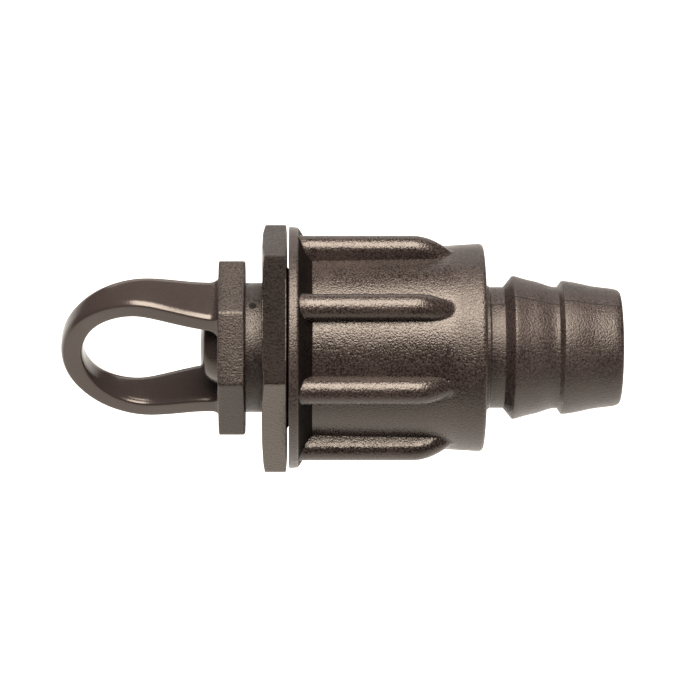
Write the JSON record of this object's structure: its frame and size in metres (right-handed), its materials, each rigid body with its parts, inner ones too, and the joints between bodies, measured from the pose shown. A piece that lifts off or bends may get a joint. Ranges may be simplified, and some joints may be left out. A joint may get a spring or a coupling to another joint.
{
  "type": "drip line end plug",
  "caption": "Barbed end plug for drip pipe with a ribbed screw-on lock nut, a hexagonal flange and a screw-out plug carrying an octagonal grip and a hanging ring.",
  "frame": {"origin": "centre of the spigot's tip plane, on the fitting's axis", "axes": "+X along the fitting's axis, out of the spigot into the pipe; the hanging ring lies in the XZ plane and its eye opens along Y; hex corners point to +Z and -Z"},
  "size_m": [0.0656, 0.0284, 0.0298],
  "materials": {
    "body_moulding": "spark-eroded matte",
    "nut_moulding": "spark-eroded satin",
    "clamp_acetal": "smooth natural acetal",
    "plug_moulding": "matte grip, smooth satin ring",
    "seal_rubber": "matte black"
  },
  "bodies": {
    "spigot_body": {"spigot_body": "body_moulding"},
    "clamp_ring": {"clamp_ring": "clamp_acetal"},
    "lock_nut": {"lock_nut": "nut_moulding"},
    "plug_o_ring": {"plug_o_ring": "seal_rubber"},
    "ring_plug": {"ring_plug": "plug_moulding"}
  },
  "joints": [
    {"name": "nut_travel", "type": "slide", "parent": "spigot_body", "child": "clamp_ring", "axis": [1, 0, 0], "range_m": [0, 0.0091]},
    {"name": "nut_turn", "type": "hinge", "parent": "clamp_ring", "child": "lock_nut", "pos_m": [-0.03, 0, 0], "axis": [1, 0, 0], "range_deg": [0, 1080]},
    {"name": "plug_travel", "type": "slide", "parent": "spigot_body", "child": "plug_o_ring", "axis": [-1, 0, 0], "range_m": [0, 0.00405]},
    {"name": "plug_turn", "type": "hinge", "parent": "plug_o_ring", "child": "ring_plug", "pos_m": [-0.045, 0, 0], "axis": [-1, 0, 0], "range_deg": [0, 720]}
  ],
  "couplings": [
    {"joint": "nut_travel", "follows": "nut_turn", "m_per_rad": 0.00047746},
    {"joint": "plug_travel", "follows": "plug_turn", "m_per_rad": 0.00031831}
  ]
}
